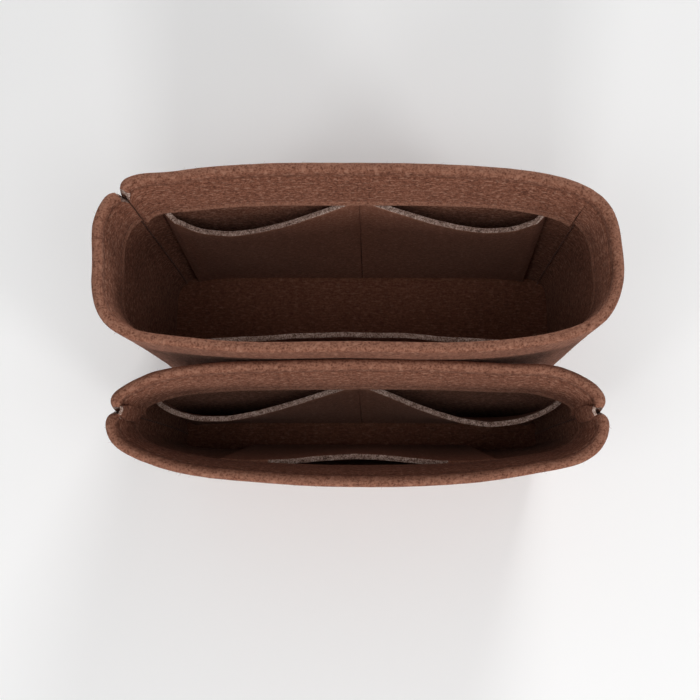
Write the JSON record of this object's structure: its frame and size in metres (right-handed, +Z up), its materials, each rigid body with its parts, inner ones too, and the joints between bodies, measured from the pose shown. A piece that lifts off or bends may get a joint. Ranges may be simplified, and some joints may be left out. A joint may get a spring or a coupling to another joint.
{
  "type": "purse organizer insert",
  "caption": "Set of felt pouches for organizing a handbag: an open pouch with rounded ends and a slim lens-mouthed one, with folded hems and scooped inner pockets.",
  "frame": {"origin": "on the surface the pouches stand on, under the middle of the set", "axes": "+X along the width of the pouches, +Y from the slim pouch to the back of the large one, +Z up"},
  "size_m": [0.2492, 0.1528, 0.14],
  "materials": {
    "felt": "matte brown wool-blend felt",
    "thread": "matte dark brown sewing thread"
  },
  "bodies": {
    "main_pouch": {"main_base": "felt", "main_back_wall": "felt", "main_wrap_wall": "felt", "main_back_hem_stitch": "thread", "main_wrap_hem_stitch": "thread", "main_corner_seam_left": "thread", "main_corner_seam_right": "thread", "main_pocket_seam": "thread", "main_base_seam": "thread"},
    "main_left_pocket": {"main_back_pocket_left": "felt"},
    "main_right_pocket": {"main_back_pocket_right": "felt"},
    "main_near_pocket": {"main_front_pocket": "felt"},
    "slim_pouch": {"slim_base": "felt", "slim_back_wall": "felt", "slim_front_wall": "felt", "slim_back_hem_stitch": "thread", "slim_front_hem_stitch": "thread", "slim_end_seam_left": "thread", "slim_end_seam_right": "thread", "slim_pocket_seam": "thread", "slim_base_seam": "thread"},
    "slim_left_pocket": {"slim_back_pocket_left": "felt"},
    "slim_right_pocket": {"slim_back_pocket_right": "felt"},
    "slim_near_pocket": {"slim_front_pocket": "felt"}
  },
  "joints": [
    {"name": "slim_pouch_lift", "type": "slide", "parent": "main_pouch", "child": "slim_pouch", "axis": [0, -0.1191, 0.9929], "range_m": [0, 0.15]},
    {"name": "main_left_pocket_open", "type": "hinge", "parent": "main_pouch", "child": "main_left_pocket", "pos_m": [-0.05, 0.0583, 0.0037], "axis": [1, 0, 0], "range_deg": [0, 8], "stiffness_Nm_per_rad": 0.12, "springref_deg": -1.15},
    {"name": "main_right_pocket_open", "type": "hinge", "parent": "main_pouch", "child": "main_right_pocket", "pos_m": [0.05, 0.0583, 0.0037], "axis": [1, 0, 0], "range_deg": [0, 8], "stiffness_Nm_per_rad": 0.12, "springref_deg": -1.15},
    {"name": "main_front_pocket_open", "type": "hinge", "parent": "main_pouch", "child": "main_near_pocket", "pos_m": [0, -0.0015, 0.0037], "axis": [-1, 0, 0], "range_deg": [0, 8], "stiffness_Nm_per_rad": 0.12, "springref_deg": -1.15},
    {"name": "slim_left_pocket_open", "type": "hinge", "parent": "slim_pouch", "child": "slim_left_pocket", "pos_m": [-0.05, -0.0275, 0.0037], "axis": [1, 0, 0], "range_deg": [0, 4], "stiffness_Nm_per_rad": 0.12, "springref_deg": -1.15},
    {"name": "slim_right_pocket_open", "type": "hinge", "parent": "slim_pouch", "child": "slim_right_pocket", "pos_m": [0.05, -0.0275, 0.0037], "axis": [1, 0, 0], "range_deg": [0, 4], "stiffness_Nm_per_rad": 0.12, "springref_deg": -1.15},
    {"name": "slim_front_pocket_open", "type": "hinge", "parent": "slim_pouch", "child": "slim_near_pocket", "pos_m": [0, -0.0363, 0.0037], "axis": [-1, 0, 0], "range_deg": [0, 3], "stiffness_Nm_per_rad": 0.12, "springref_deg": -1.15}
  ]
}
